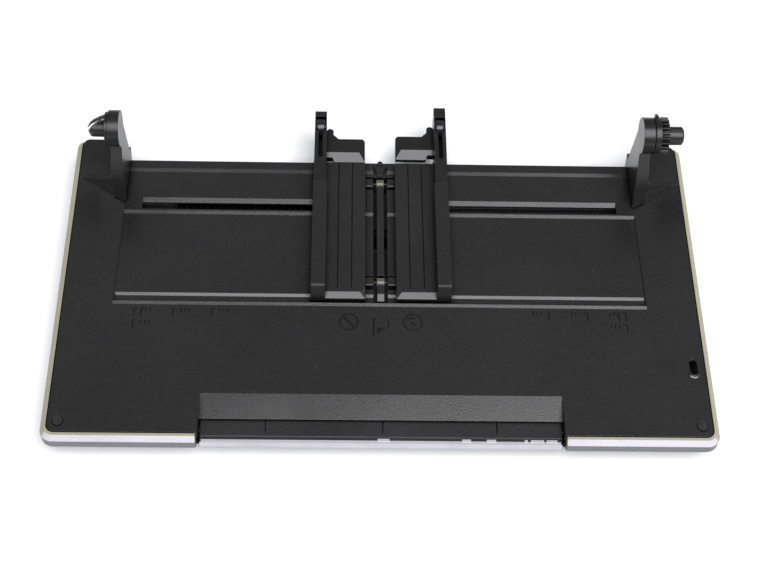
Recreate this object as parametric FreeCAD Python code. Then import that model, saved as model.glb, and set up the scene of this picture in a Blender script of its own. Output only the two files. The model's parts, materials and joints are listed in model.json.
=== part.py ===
import FreeCAD, Part
import math
import os

# Frame while modelling: X right, Y is the depth behind the front edge of the
# black tray, Z is the height above the underside.  save() moves the depth
# origin to the middle of the tray.

# ---- driving dimensions, millimetres ----
RIM_Z = 18.0            # top of the rim above the underside
SINK = 0.0533           # fall of the tray floor per mm of depth
TRAY_HALF = 138.7       # half width of the black tray
TRAY_REAR = 155.0       # depth of the rear corners
FLOOR_REAR = 148.6      # depth of the rear edge of the paper floor
SKIN = 2.0              # wall thickness of the mouldings
SHELL_HALF = 141.6      # half width over the light rims
SHELL_FRONT = -3.8      # front of the rims
RIM_BEVEL = 2.0         # chamfer round the outer top edge of the rims
SHELL_REAR = 155.6      # rear of the rims
DEPTH_MID = 76.5        # depth that becomes Y = 0
FRONT_R = 3.2           # front corner radius of the black tray
REAR_R = 3.0            # rear corner radius of the black tray
RIM_GAP = 0.5           # gap between tray and rim
RIM_BOTTOM = 12.0       # lower edge of the rims, inside the cover
RIM_SKIRT = 15.9        # outer face of the rims ends here, the cover goes on below
LEDGE_Z = 14.0          # top of the ledge the tray rests on

REC_HALF = 117.8        # half width of the paper floor recess
FLOOR_START = 64.7      # depth where the stepped floor begins
RIDGE = (65.3, 66.9)    # foot and crest of the ridge before the cross groove
RIDGE_RISE = 0.6
RAMP_C = (71.0, 72.4)   # ramp out of the cross groove
RAMP_B = (117.3, 119.0) # middle ramp of the floor
RAMP_A = (142.2, 144.0) # ramp up to the rear lip
STEP = 0.7              # height of each floor ramp
WING_END = 136.0        # the side wings run under the corner boxes to here
SLOT_FRONT = 119.8      # rack slot, front edge
SLOT_REAR = 124.4       # rack slot, rear edge
SLOT_IN = 9.0           # rack slot, inner end from the centre
SLOT_OUT = 109.7        # rack slot, outer end from the centre
SLOT_SLOPE = (2.3, 1.0)   # length and drop of the slope behind the slot

RAMP_HALF = 76.6        # half width of the finger ramp at the front
RAMP_TOP = 19.4         # depth of the top of the finger ramp
RAMP_LOW = 7.5          # depth of the bottom of the finger ramp
RAMP_DROP = 4.0         # height of the finger ramp
EXT_HALF = 75.7         # half width of the pull out extension
EXT_FRONT = -3.05       # front of the extension
EXT_BACK = 98.0         # rear of the extension plate
EXT_TOP = 12.9          # top of the extension grip
EXT_LOW = 7.2           # underside of the extension
EXT_PLATE = 9.4         # top of the thin extension plate
EXT_TRAVEL = 75.0       # how far the extension pulls out
BEAD_D = 12.0           # detent bead under the extension

GEAR_D = 117.0          # depth of the pinion axis
MODULE = 1.0            # rack and pinion module
PINION_TEETH = 16
PINION_R = MODULE * PINION_TEETH / 2.0
RACK_LOW = 3.6          # underside of the racks
RACK_TOP = 6.8          # top of the racks
RACK_BODY = 5.0         # rack width behind the tooth roots
BACKLASH = 0.16

PLATE_IN = 6.95         # inner edge of a guide base plate
WALL_IN = 24.7          # inner face of a guide wall
WALL_OUT = 31.3         # outer face of a guide wall
GUIDE_FRONT = 68.1      # front of the guides
NOSE_LONG = 3.2         # slope at the front of the base plates
NOSE_DROP = 1.5
PLATE_REAR = 146.4      # rear of the base plates
WALL_LEVEL = 12.5       # wall top above the sloping floor plane
PLATE_LEVEL = 3.6       # base plate top above the sloping floor plane
LEG_IN = 12.5           # leg through the rack slot
LEG_OUT = 24.0
TAIL_FRONT = 127.5      # where the tail piece starts
LEFT_TAIL_REAR = 169.4  # ends of the tail pieces
RIGHT_TAIL_REAR = 172.4
TAIL_SLOT_FRONT = 141.5
TAIL_IN = 25.2
TAIL_OUT = 30.7
TAIL_TOP = 24.2
TAIL_SEAT = 15.0        # top of the ledge that carries the tail
RIGHT_SHIFT = 2.0       # the right tongue sits this much further back
LEFT_ROLLER_D = 161.6   # depths of the rollers in the tails
RIGHT_ROLLER_D = 162.0
EDGE_ROLLER_Z = 21.1
EDGE_ROLLER_R = 3.9

RAIL_HALF = 1.55        # half width of the centre rail
CHANNEL_HALF = 3.2      # half width of the channel round the rail
ROLLER_R = 2.2          # centre rollers
FRONT_ROLLER_D = 79.0
REAR_ROLLER_D = 136.7
WINDOW_HALF = 6.85      # half width of the roller windows
WINDOW_LONG = 3.9       # half length of the roller windows
NUB_SEAT = 10.3         # bottom of the pocket for the rear end of the rail
PEG_D = 145.2           # locating peg of the rear end of the rail
RAIL_SCREW_D = 124.5    # screw that holds the centre rail
PAD_X = 134.4           # front corner pads
PAD_D = 4.9
PAD_R = 2.15

ARM_IN = 117.2          # inner face of a hinge arm
ARM_OUT = 122.2         # outer face of a hinge arm
ARM_REAR = 150.3        # rear edge of the arm root
ARM_FOOT = 123.1        # front edge of the arm root at its inner face
ARM_LOW = 4.5           # underside of the arm root
FACE_D = 77.216         # steep front face of arm and corner box:
FACE_PER_X = 0.352      # depth = FACE_D + FACE_PER_X * x + FACE_PER_Z * height
FACE_PER_Z = 0.398
PIVOT_D = 138.8         # depth of the pivot axis
PIVOT_Z = 45.9          # height of the pivot axis
HEAD_R = 8.2            # arm head radius
PIVOT_BORE_R = 3.05
PIN_TILT = 34.0         # lean of the snap pin slot and collar tab, degrees

# ---- dimensions of single details ----
KEY_X = 134.0           # keyhole slot, centre line from the middle
KEY_FRONT = 31.5        # centres of its two round ends
KEY_REAR = 36.0
KEY_R = 1.7
COVER_SCREWS = [(-126.0, 14.0), (126.0, 14.0), (-126.0, 88.0), (126.0, 88.0),
                (-62.0, 140.0), (62.0, 140.0)]
SCREW_R = 1.5           # cover and arm screws
SCREW_HOLE_R = 1.52
OPENING_HALF = 77.3     # half width of the front opening for the extension
COVER_INSET = 0.0       # cover inside the rims at the joint
COVER_MID_Z = 7.0       # height where the undercut gets flatter
COVER_MID_INSET = 4.4
COVER_LOW_INSET = 11.0
ARM_SCREWS = [(119.7, 128.5), (119.7, 144.0)]
HEAD_DEEP = 1.7         # how far the cover screw heads sit in from below
HEAD_R_SCREW = 2.8
RACK_SCREW_X = (-21.3, -15.2)
LEG_MID = (SLOT_FRONT + SLOT_REAR) / 2.0
RACK_SCREW_R = 0.8
TENON_FRONT = 121.0
SKIRT_THICK = 1.0       # lap of the cover over the rims
TRIM_DEEP = 1.35        # depth of the light trim on the extension
SPRING_SCREW_D = 20.5
COLLAR_OUT = 123.7      # outer face of the collar behind the snap pin
COLLAR_R = 7.4
PIN_R = 4.0             # shank of the snap pin
GEAR_IN = 125.3         # teeth of the pivot gear
GEAR_OUT = 128.8
STUB_OUT = 136.1        # end of the stub shaft
STUB_R = 4.2
GEAR_TEETH = 22
GEAR_MODULE = 0.7


# ---- small helpers ----
def vec(x, y, z):
    return FreeCAD.Vector(x, y, z)


def box(x0, x1, y0, y1, z0, z1):
    return Part.makeBox(x1 - x0, y1 - y0, z1 - z0, vec(x0, y0, z0))


def cyl_x(r, x0, x1, y, z):
    return Part.makeCylinder(r, x1 - x0, vec(x0, y, z), vec(1, 0, 0))


def cyl_z(r, x, y, z0, z1):
    return Part.makeCylinder(r, z1 - z0, vec(x, y, z0), vec(0, 0, 1))


def prism_x(points, x0, x1):
    """Extrude a (depth, height) outline along X."""
    loop = [vec(x0, y, z) for y, z in points]
    face = Part.Face(Part.makePolygon(loop + [loop[0]]))
    return face.extrude(vec(x1 - x0, 0, 0))


def prism_z(points, z0, z1):
    """Extrude an (x, depth) outline along Z."""
    loop = [vec(x, y, z0) for x, y in points]
    face = Part.Face(Part.makePolygon(loop + [loop[0]]))
    return face.extrude(vec(0, 0, z1 - z0))


def prism_y(points, y0, y1):
    """Extrude an (x, height) outline along Y."""
    loop = [vec(x, y0, z) for x, z in points]
    face = Part.Face(Part.makePolygon(loop + [loop[0]]))
    return face.extrude(vec(0, y1 - y0, 0))


def rounded_wire(half, y0, y1, r_front, r_rear, z):
    """Rounded rectangle, centred on X, with its own front and rear radii."""
    edges = []
    f = r_front
    b = r_rear
    k = 1.0 - math.sqrt(0.5)
    edges.append(Part.makeLine(vec(-half + f, y0, z), vec(half - f, y0, z)))
    edges.append(Part.Arc(vec(half - f, y0, z), vec(half - f * k, y0 + f * k, z),
                          vec(half, y0 + f, z)).toShape())
    edges.append(Part.makeLine(vec(half, y0 + f, z), vec(half, y1 - b, z)))
    edges.append(Part.Arc(vec(half, y1 - b, z), vec(half - b * k, y1 - b * k, z),
                          vec(half - b, y1, z)).toShape())
    edges.append(Part.makeLine(vec(half - b, y1, z), vec(-half + b, y1, z)))
    edges.append(Part.Arc(vec(-half + b, y1, z), vec(-half + b * k, y1 - b * k, z),
                          vec(-half, y1 - b, z)).toShape())
    edges.append(Part.makeLine(vec(-half, y1 - b, z), vec(-half, y0 + f, z)))
    edges.append(Part.Arc(vec(-half, y0 + f, z), vec(-half + f * k, y0 + f * k, z),
                          vec(-half + f, y0, z)).toShape())
    return Part.Wire(edges)


def rounded_block(half, y0, y1, r_front, r_rear, z0, z1):
    face = Part.Face(rounded_wire(half, y0, y1, r_front, r_rear, z0))
    return face.extrude(vec(0, 0, z1 - z0))


def chamfer_top(block, z, size):
    edges = [e for e in block.Edges
             if abs(e.BoundBox.ZMin - z) < 1e-6 and abs(e.BoundBox.ZMax - z) < 1e-6]
    return block.makeChamfer(size, edges)


def mirror_x(shape):
    return shape.mirror(vec(0, 0, 0), vec(1, 0, 0))


def fuse(shapes):
    first = shapes[0]
    return first.multiFuse(shapes[1:]).removeSplitter()


def save(name, shape):
    moved = shape.copy()
    moved.translate(vec(0, -DEPTH_MID, 0))
    moved.exportStep("parts/" + name + ".step")


def floor_z(depth, level=0.0):
    """Height of the sloping floor plane, plus a level above it."""
    return RIM_Z - SINK * depth + level


# ---- black tray ----
def tray_section(depth, drop):
    low = floor_z(depth) - drop
    top = RIM_Z - drop
    return [vec(-TRAY_HALF, depth, top), vec(-REC_HALF, depth, low),
            vec(REC_HALF, depth, low), vec(TRAY_HALF, depth, top)]


def ruled_solid(first, second):
    wires = [Part.makePolygon(loop + [loop[0]]) for loop in (first, second)]
    return Part.makeLoft(wires, True, True)


def front_skin():
    """Front of the tray: flat at the edge, centre sinking to the rear."""
    loops = [tray_section(depth, 0.0) + tray_section(depth, SKIN)[::-1]
             for depth in (0.0, FLOOR_START)]
    return ruled_solid(loops[0], loops[1])


def wing_skin():
    """Right side wing, twisting down from the rim to the paper floor."""
    loops = [tray_section(depth, 0.0)[2:] + tray_section(depth, SKIN)[2:][::-1]
             for depth in (FLOOR_START, WING_END)]
    return ruled_solid(loops[0], loops[1])


def floor_strip():
    """Stepped paper floor: ridge, groove, two ramps and the rear lip."""
    top = [(FLOOR_START, 0.0), (RIDGE[0], 0.0), (RIDGE[1], RIDGE_RISE),
           (RIDGE[1], -2 * STEP), (RAMP_C[0], -2 * STEP), (RAMP_C[1], -STEP),
           (RAMP_B[0], -STEP), (RAMP_B[1], 0.0), (RAMP_A[0], 0.0), (RAMP_A[1], STEP),
           (FLOOR_REAR, STEP)]
    under = [(FLOOR_REAR, STEP), (RAMP_A[1] + 1, STEP), (RAMP_A[0] + 1, 0.0),
             (RAMP_B[1] + 1, 0.0), (RAMP_B[0] + 1, -STEP), (RAMP_C[1] + 1, -STEP),
             (RAMP_C[0] + 1, -2 * STEP), (FLOOR_START, -2 * STEP)]
    outline = [(d, floor_z(d, lv)) for d, lv in top]
    outline += [(d, floor_z(d, lv - SKIN)) for d, lv in under]
    return prism_x(outline, -REC_HALF, REC_HALF)


def rear_nub():
    """Small round nub on the rear edge, behind the rail."""
    depth = FLOOR_REAR - 0.9
    return cyl_z(1.2, 0.0, depth, floor_z(depth, STEP) - 1.0, floor_z(depth, STEP) + 1.2)


def side_rib():
    """Joins the floor strip to the wing along one side of the recess."""
    end = RAMP_B[1] + 0.2
    outline = [(FLOOR_START, floor_z(FLOOR_START, -0.6)), (end, floor_z(end, -0.6)),
               (end, floor_z(end, -4.2)), (FLOOR_START, floor_z(FLOOR_START, -4.2))]
    return prism_x(outline, REC_HALF - 0.4, REC_HALF + 1.6)


def face_depth(x, z):
    """Depth of the steep face shared by the arm and the corner box."""
    return FACE_D + FACE_PER_X * x + FACE_PER_Z * z


def ahead_of_face(back):
    """Everything in front of the steep face, moved back by a distance."""
    spots = [(REC_HALF - 9, -5.0), (TRAY_HALF + 9, -5.0), (TRAY_HALF + 9, 70.0),
             (REC_HALF - 9, 70.0)]
    loop = [vec(x, face_depth(x, z) + back, z) for x, z in spots]
    face = Part.Face(Part.makePolygon(loop + [loop[0]]))
    return face.extrude(vec(0, -90.0, 0))


def corner_box():
    """Raised rear corner with a steep slanting front."""
    outer = prism_x([(120.0, 9.2), (120.0, RIM_Z), (TRAY_REAR, RIM_Z), (TRAY_REAR, LEDGE_Z),
                     (134.2, LEDGE_Z), (134.2, 9.2)], ARM_OUT + 0.15, TRAY_HALF)
    inner = box(ARM_OUT + SKIN, TRAY_HALF - SKIN, 118.0, TRAY_REAR - SKIN, 5.0, RIM_Z - SKIN)
    edge = box(TRAY_HALF - 2.4, TRAY_HALF + 1, 115.0, 134.3, 0.0, LEDGE_Z)
    hollow = inner.cut(ahead_of_face(SKIN))
    return outer.cut(ahead_of_face(0.0)).cut(hollow).cut(edge)


def finger_ramp():
    """Sloping band over the extension, with its two side cheeks."""
    top = floor_z(RAMP_TOP)
    low = RIM_Z - RAMP_DROP
    rise = (top - low) / (RAMP_TOP - RAMP_LOW)
    start = RAMP_LOW + 1.1
    edge = low + rise * 1.1
    band = prism_x([(RAMP_TOP + 1, top - 0.05), (RAMP_TOP, top), (start, edge),
                    (start, edge - 0.5), (start + 3.0, edge + rise * 3.0 - 1.3),
                    (RAMP_TOP + 1, top - 2.4)], -RAMP_HALF, RAMP_HALF)
    cheeks = []
    for x0 in (RAMP_HALF - 0.05, -RAMP_HALF - 1.45):
        cheeks.append(box(x0, x0 + 1.5, 0.0, RAMP_TOP + 1, LEDGE_Z, RIM_Z - 1.0))
    return [band] + cheeks


def tray_cuts():
    """Openings of the tray: slots, windows, rail channel, keyhole."""
    cuts = []
    slope_long, slope_drop = SLOT_SLOPE
    slope_end = SLOT_REAR + slope_long
    for side in (-1, 1):
        x0 = min(side * SLOT_IN, side * SLOT_OUT)
        x1 = max(side * SLOT_IN, side * SLOT_OUT)
        cuts.append(box(x0, x1, SLOT_FRONT, SLOT_REAR, 6.0, 14.0))
        slope = [(SLOT_REAR - 0.1, floor_z(SLOT_REAR, -slope_drop)),
                 (SLOT_REAR, floor_z(SLOT_REAR, -slope_drop)),
                 (slope_end, floor_z(slope_end, 0.01)), (SLOT_REAR - 0.1, RIM_Z)]
        cuts.append(prism_x(slope, x0, x1))
    cuts.append(box(-CHANNEL_HALF, CHANNEL_HALF, 68.2, 111.0, 6.0, 16.0))
    cuts.append(box(-CHANNEL_HALF, CHANNEL_HALF, 131.0, REAR_ROLLER_D + WINDOW_LONG, 6.0, 16.0))
    cuts.append(box(-CHANNEL_HALF, CHANNEL_HALF, REAR_ROLLER_D, FLOOR_REAR - 1.6, NUB_SEAT, 16.0))
    cuts.append(cyl_z(0.82, 0.0, PEG_D, 6.0, 16.0))
    cuts.append(cyl_z(0.62, 0.0, RAIL_SCREW_D, 6.0, 16.0))
    for side in (-1, 1):
        cuts.append(cyl_z(PAD_R + 0.3, side * PAD_X, PAD_D, RIM_Z - 0.4, RIM_Z + 1))
    shallow = [(110.9, floor_z(110.9, -2.0)), (131.1, floor_z(131.1, -1.2)),
               (131.1, 16.0), (110.9, 16.0)]
    cuts.append(prism_x(shallow, -CHANNEL_HALF, CHANNEL_HALF))
    for depth in (FRONT_ROLLER_D, REAR_ROLLER_D):
        cuts.append(box(-WINDOW_HALF, WINDOW_HALF, depth - WINDOW_LONG,
                        depth + WINDOW_LONG, 6.0, 16.0))
    cuts.append(keyhole())
    return cuts


def stadium(r, z0, z1):
    mid = box(KEY_X - r, KEY_X + r, KEY_FRONT, KEY_REAR, z0, z1)
    return fuse([mid, cyl_z(r, KEY_X, KEY_FRONT, z0, z1), cyl_z(r, KEY_X, KEY_REAR, z0, z1)])


def keyhole():
    return stadium(KEY_R, 12.0, 20.0)


def key_collar():
    """Low chamfered lip round the front of the keyhole slot."""
    top = RIM_Z + 0.35
    lip = stadium(KEY_R + 1.0, RIM_Z - 1.6, top)
    lip = chamfer_top(lip, top, 0.7)
    return lip.common(box(KEY_X - 4, KEY_X + 4, KEY_FRONT - 4, KEY_FRONT + 0.4, 0.0, top + 1))


def tray_bosses():
    """Screw pillars on the underside of the tray."""
    pillars = []
    for x, y in COVER_SCREWS:
        top = floor_z(y, -1.0)
        if abs(x) > REC_HALF:
            rise = (abs(x) - REC_HALF) / (TRAY_HALF - REC_HALF)
            top = floor_z(y) + (RIM_Z - floor_z(y)) * rise - 1.0
        pillar = cyl_z(3.4, x, y, 4.2, top)
        pillars.append(pillar)
    pillars.append(cyl_z(4.2, 0.0, GEAR_D, RACK_TOP + 0.15, 9.6))
    return pillars


def tray_boss_holes():
    holes = [cyl_z(SCREW_HOLE_R, x, y, 4.0, 9.2) for x, y in COVER_SCREWS]
    holes.append(cyl_z(1.27, 0.0, GEAR_D, RACK_TOP, 9.6))
    return holes


def arm_pocket(gap):
    """Space the right arm root stands in, open to the rear."""
    x0 = ARM_IN - gap
    x1 = ARM_OUT + gap
    front = [ARM_FOOT - gap + FACE_PER_X * (x - ARM_IN) for x in (x0, x1)]
    return prism_z([(x0, front[0]), (x1, front[1]), (x1, TRAY_REAR + 1), (x0, TRAY_REAR + 1)],
                   3.0, RIM_Z + 2)


def tray_skirt():
    """Edge wall that stands on the rim ledges."""
    outer = rounded_block(TRAY_HALF, 0.0, TRAY_REAR, FRONT_R, REAR_R, LEDGE_Z, RIM_Z - 0.5)
    inner = rounded_block(TRAY_HALF - 1.6, 1.6, TRAY_REAR + 9, FRONT_R - 1.6, REAR_R,
                          LEDGE_Z - 1, RIM_Z)
    return outer.cut(inner)


def tray_insert():
    outline = rounded_block(TRAY_HALF, 0.0, TRAY_REAR, FRONT_R, REAR_R, 0.0, RIM_Z + 1)
    front = front_skin().cut(box(-RAMP_HALF, RAMP_HALF, -1.0, RAMP_TOP, 0.0, RIM_Z + 5))
    skirt = tray_skirt()
    skirt = skirt.cut(box(-RAMP_HALF, RAMP_HALF, -1.0, RAMP_TOP, 0.0, RIM_Z + 5))
    pieces = [front.common(outline), skirt, floor_strip()]
    for piece in (wing_skin(), side_rib(), corner_box().common(outline)):
        pieces.append(piece)
        pieces.append(mirror_x(piece))
    body = fuse(pieces + finger_ramp() + tray_bosses() + [key_collar(), rear_nub()])
    for cut in tray_cuts() + tray_boss_holes():
        body = body.cut(cut)
    pocket = arm_pocket(0.12)
    return body.cut(pocket).cut(mirror_x(pocket))


# ---- light rims ----
def rim_ring():
    outer = rounded_block(SHELL_HALF, SHELL_FRONT, SHELL_REAR, FRONT_R + 2.3,
                          REAR_R + 1.5, RIM_BOTTOM, RIM_Z)
    outer = chamfer_top(outer, RIM_Z, RIM_BEVEL)
    well = rounded_block(TRAY_HALF + RIM_GAP, -RIM_GAP, SHELL_REAR + 9, FRONT_R + RIM_GAP,
                         1.0, LEDGE_Z, RIM_Z + 1)
    under = rounded_block(TRAY_HALF - 2.2, 2.2, SHELL_REAR + 9, FRONT_R - 2.2,
                          1.0, RIM_BOTTOM - 1, LEDGE_Z + 1)
    skirt = cover_skirt(RIM_BOTTOM - 1, RIM_SKIRT, 0.05)
    return outer.cut(well).cut(under).cut(skirt)


def cover_skirt(z_low, z_high, gap):
    """Thin upright band at the outside, where the cover laps over the rims."""
    wide = SKIRT_THICK + gap
    outer = rounded_block(SHELL_HALF + gap, SHELL_FRONT - gap, SHELL_REAR + gap,
                          FRONT_R + 2.3, REAR_R + 1.5, z_low, z_high)
    inner = rounded_block(SHELL_HALF - wide, SHELL_FRONT + wide, SHELL_REAR - wide,
                          FRONT_R + 2.3 - wide, REAR_R + 1.5 - wide, z_low - 1, z_high + 1)
    rear = box(-SHELL_HALF - 1, SHELL_HALF + 1, SHELL_REAR - REAR_R - 2.0 + gap,
               SHELL_REAR + 1, 0.0, RIM_Z)
    return outer.cut(inner).cut(rear)


def right_rim():
    ring = rim_ring()
    return ring.common(box(OPENING_HALF, SHELL_HALF + 1, SHELL_FRONT - 1, SHELL_REAR + 1,
                           RIM_BOTTOM - 1, RIM_Z + 1))


# ---- bottom cover ----


def cover_blank(extra, z_low):
    """Dish outline: flat underside and two drafted bands."""
    wires = []
    for inset, z in ((COVER_LOW_INSET, z_low), (COVER_MID_INSET, COVER_MID_Z),
                     (COVER_INSET, RIM_BOTTOM)):
        rear = SHELL_REAR - COVER_INSET - (inset - COVER_INSET) * 0.3 - extra
        wires.append(rounded_wire(SHELL_HALF - inset - extra, SHELL_FRONT + inset + extra,
                                  rear, FRONT_R + 2.3, REAR_R + 1.5, z))
    return Part.makeLoft(wires, True, True)


def notch(wall):
    """Block that takes the rear middle out of the cover."""
    return box(-REC_HALF - wall, REC_HALF + wall, FLOOR_REAR + 0.2 - wall,
               SHELL_REAR + 9, -1.0, RIM_Z)


def rack_rails():
    """Ledges under the racks and a fence behind each."""
    left_back = GEAR_D - PINION_R - 1.25 * MODULE - RACK_BODY
    right_back = GEAR_D + PINION_R + 1.25 * MODULE + RACK_BODY
    rails = [box(-112.0, 112.0, left_back + 0.8, left_back + 2.0, 1.9, RACK_LOW - 0.05),
             box(-112.0, 112.0, right_back - 2.0, right_back - 0.8, 1.9, RACK_LOW - 0.05),
             box(-115.0, 115.0, left_back - 1.6, left_back - 0.15, 1.9, 6.0),
             box(-115.0, 115.0, right_back + 0.15, right_back + 1.6, 1.9, 6.0)]
    return rails


def extension_rails():
    """Upright side guides and runners for the pull out extension."""
    rails = []
    for side in (-1, 1):
        xa = side * (EXT_HALF + 0.2)
        xb = side * (EXT_HALF + 1.6)
        rails.append(box(min(xa, xb), max(xa, xb), 6.5, 96.0, 1.9, 9.0))
        xa = side * (EXT_HALF - 4.0)
        xb = side * (EXT_HALF - 1.5)
        rails.append(box(min(xa, xb), max(xa, xb), 6.5, 92.0, 1.9, EXT_LOW - 0.1))
    return rails


def rear_fillers():
    """Close the rear of each corner box above the cover band."""
    xa = ARM_OUT + 0.3
    xb = TRAY_HALF - 2.4
    y0 = SHELL_REAR - COVER_INSET - SKIN
    y1 = SHELL_REAR - COVER_INSET - 0.1
    wall = box(xa, xb, y0, y1, RIM_BOTTOM - 1.0, LEDGE_Z - 0.05)
    return [wall, mirror_x(wall)]


def cover_posts():
    posts = []
    for x, y in COVER_SCREWS:
        posts.append(cyl_z(3.8, x, y, 1.9, 4.15))
    for x, y in ARM_SCREWS:
        posts.append(cyl_z(3.0, x, y, 1.9, 4.45))
        posts.append(cyl_z(3.0, -x, y, 1.9, 4.45))
    posts.append(box(-5.0, 5.0, 17.8, 24.5, 1.9, 4.03))
    return posts


def cover_holes():
    holes = []
    spots = list(COVER_SCREWS)
    spots += ARM_SCREWS
    spots += [(-x, y) for x, y in ARM_SCREWS]
    for x, y in spots:
        holes.append(cyl_z(SCREW_HOLE_R, x, y, -1.0, 6.0))
        holes.append(cyl_z(HEAD_R_SCREW + 0.1, x, y, -1.0, HEAD_DEEP))
    holes.append(cyl_z(0.82, 0.0, SPRING_SCREW_D, 2.2, 5.0))
    return holes


def bottom_cover():
    outer = cover_blank(0.0, 0.0).cut(notch(0.0))
    inner = cover_blank(SKIN, SKIN).cut(notch(SKIN))
    lap = cover_skirt(RIM_BOTTOM - 0.4, RIM_SKIRT - 0.05, 0.0).cut(notch(0.0))
    cover = fuse([outer.cut(inner), lap])
    cover = cover.cut(box(-OPENING_HALF, OPENING_HALF, -9.0, 6.0, EXT_LOW - 0.15, RIM_Z))
    strip_under = floor_z(FLOOR_REAR, STEP - SKIN) - 0.05
    cover = cover.cut(box(-REC_HALF + 0.1, REC_HALF - 0.1, 140.0, SHELL_REAR + 4, strip_under,
                          RIM_Z))
    for side in (-1, 1):
        xa = side * (ARM_IN - 0.15)
        xb = side * (ARM_OUT + 0.15)
        cover = cover.cut(box(min(xa, xb), max(xa, xb), 118.0, ARM_REAR + 0.15,
                              ARM_LOW - 0.05, RIM_Z))
    cover = fuse([cover] + rack_rails() + extension_rails() + cover_posts() + rear_fillers())
    for hole in cover_holes():
        cover = cover.cut(hole)
    return cover


def pan_screw(x, y, z_head, head_r, head_high, shank_r, z_end):
    """Screw driven upwards, head at the bottom, with a cross recess."""
    head = cyl_z(head_r, x, y, z_head, z_head + head_high)
    shank = cyl_z(shank_r, x, y, z_head, z_end)
    recess_a = box(x - head_r * 0.55, x + head_r * 0.55, y - 0.25, y + 0.25,
                   z_head - 1, z_head + head_high * 0.6)
    recess_b = box(x - 0.25, x + 0.25, y - head_r * 0.55, y + head_r * 0.55,
                   z_head - 1, z_head + head_high * 0.6)
    return fuse([head, shank]).cut(recess_a).cut(recess_b)


def cover_screws():
    screws = [pan_screw(x, y, 0.3, HEAD_R_SCREW, HEAD_DEEP - 0.3, SCREW_R, 9.0)
              for x, y in COVER_SCREWS]
    return Part.makeCompound(screws)


def arm_screws():
    spots = ARM_SCREWS + [(-x, y) for x, y in ARM_SCREWS]
    screws = [pan_screw(x, y, 0.3, HEAD_R_SCREW, HEAD_DEEP - 0.3, SCREW_R, 11.0)
              for x, y in spots]
    return Part.makeCompound(screws)


# ---- racks and pinion ----
def rack(teeth_up, pitch_depth, x_from, x_to):
    """Straight rack; teeth_up is +1 when the teeth point to the rear."""
    pitch = math.pi * MODULE
    half_mid = pitch / 4.0 - BACKLASH / 2.0
    lean = math.tan(math.radians(20.0))
    tip = pitch_depth + teeth_up * 0.9 * MODULE
    root = pitch_depth - teeth_up * 1.25 * MODULE
    back = root - teeth_up * RACK_BODY
    half_tip = half_mid - 0.9 * MODULE * lean
    half_root = half_mid + 1.25 * MODULE * lean
    body = box(x_from, x_to, min(root, back), max(root, back), RACK_LOW, RACK_TOP)
    teeth = []
    first = math.ceil((x_from + half_root - pitch / 2.0) / pitch)
    last = math.floor((x_to - half_root - pitch / 2.0) / pitch)
    inside = root - teeth_up * 0.2
    for k in range(first, last + 1):
        x = pitch * (k + 0.5)
        teeth.append(prism_z([(x - half_root, inside), (x - half_root, root),
                              (x - half_tip, tip), (x + half_tip, tip),
                              (x + half_root, root), (x + half_root, inside)],
                             RACK_LOW, RACK_TOP))
    return body.multiFuse(teeth)


def rack_with_foot(teeth_up, pitch_depth, x_from, x_to, foot_x0, foot_x1):
    """Rack joined to the foot that carries one guide leg."""
    strip = rack(teeth_up, pitch_depth, x_from, x_to)
    root = pitch_depth - teeth_up * 1.25 * MODULE
    far = LEG_MID + 1.4
    near = LEG_MID - 1.4
    if teeth_up > 0:
        foot = box(foot_x0, foot_x1, root - 0.2, far, RACK_LOW, RACK_TOP)
    else:
        foot = box(foot_x0, foot_x1, near, root + 0.2, RACK_LOW, RACK_TOP)
    body = strip.fuse(foot).removeSplitter()
    sign = -1.0 if foot_x0 > 0 else 1.0
    for sx in RACK_SCREW_X:
        body = body.cut(cyl_z(RACK_SCREW_R + 0.02, sign * sx, LEG_MID, RACK_LOW - 1, RACK_TOP + 1))
        body = body.cut(cyl_z(1.3, sign * sx, LEG_MID, RACK_LOW - 1, RACK_LOW + 1.2))
    return body


def left_rack():
    return rack_with_foot(1, GEAR_D - PINION_R, -LEG_OUT, 94.0, -LEG_OUT, -LEG_IN)


def right_rack():
    return rack_with_foot(-1, GEAR_D + PINION_R, -94.0, LEG_OUT, LEG_IN, LEG_OUT)


def rack_screws(sign):
    screws = [pan_screw(sign * sx, LEG_MID, RACK_LOW + 0.1, 1.25, 1.1, RACK_SCREW_R, 12.0)
              for sx in RACK_SCREW_X]
    return Part.makeCompound(screws)


def gear_outline(teeth, module, thin):
    """Spur gear outline with sampled involute flanks."""
    pitch_r = module * teeth / 2.0
    base_r = pitch_r * math.cos(math.radians(20.0))
    tip_r = pitch_r + 0.95 * module
    root_r = pitch_r - 1.25 * module
    inv_pitch = math.tan(math.radians(20.0)) - math.radians(20.0)
    half = math.pi / (2.0 * teeth) - thin / (2.0 * pitch_r)
    points = []
    for k in range(teeth):
        centre = 2.0 * math.pi * k / teeth + math.pi / 2.0
        flank = []
        for step in range(5):
            r = base_r + (tip_r - base_r) * step / 4.0
            turn = math.acos(min(1.0, base_r / r))
            inv = math.tan(turn) - turn
            flank.append((r, half + inv_pitch - inv))
        rising = [(root_r, flank[0][1])] + flank
        for r, a in rising:
            points.append((r * math.cos(centre - a), r * math.sin(centre - a)))
        for r, a in rising[::-1]:
            points.append((r * math.cos(centre + a), r * math.sin(centre + a)))
    return points


def pinion():
    outline = [(x, y + GEAR_D) for x, y in gear_outline(PINION_TEETH, MODULE, BACKLASH)]
    body = prism_z(outline, RACK_LOW, RACK_TOP)
    hub = cyl_z(4.0, 0.0, GEAR_D, RACK_LOW - 0.05, RACK_TOP + 0.1)
    body = body.fuse(hub)
    for k in range(4):
        a = math.pi / 4.0 + k * math.pi / 2.0
        body = body.cut(cyl_z(0.7, 5.2 * math.cos(a), GEAR_D + 5.2 * math.sin(a), 0.0, 9.0))
    return body.cut(cyl_z(2.05, 0.0, GEAR_D, 0.0, 9.0))


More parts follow.
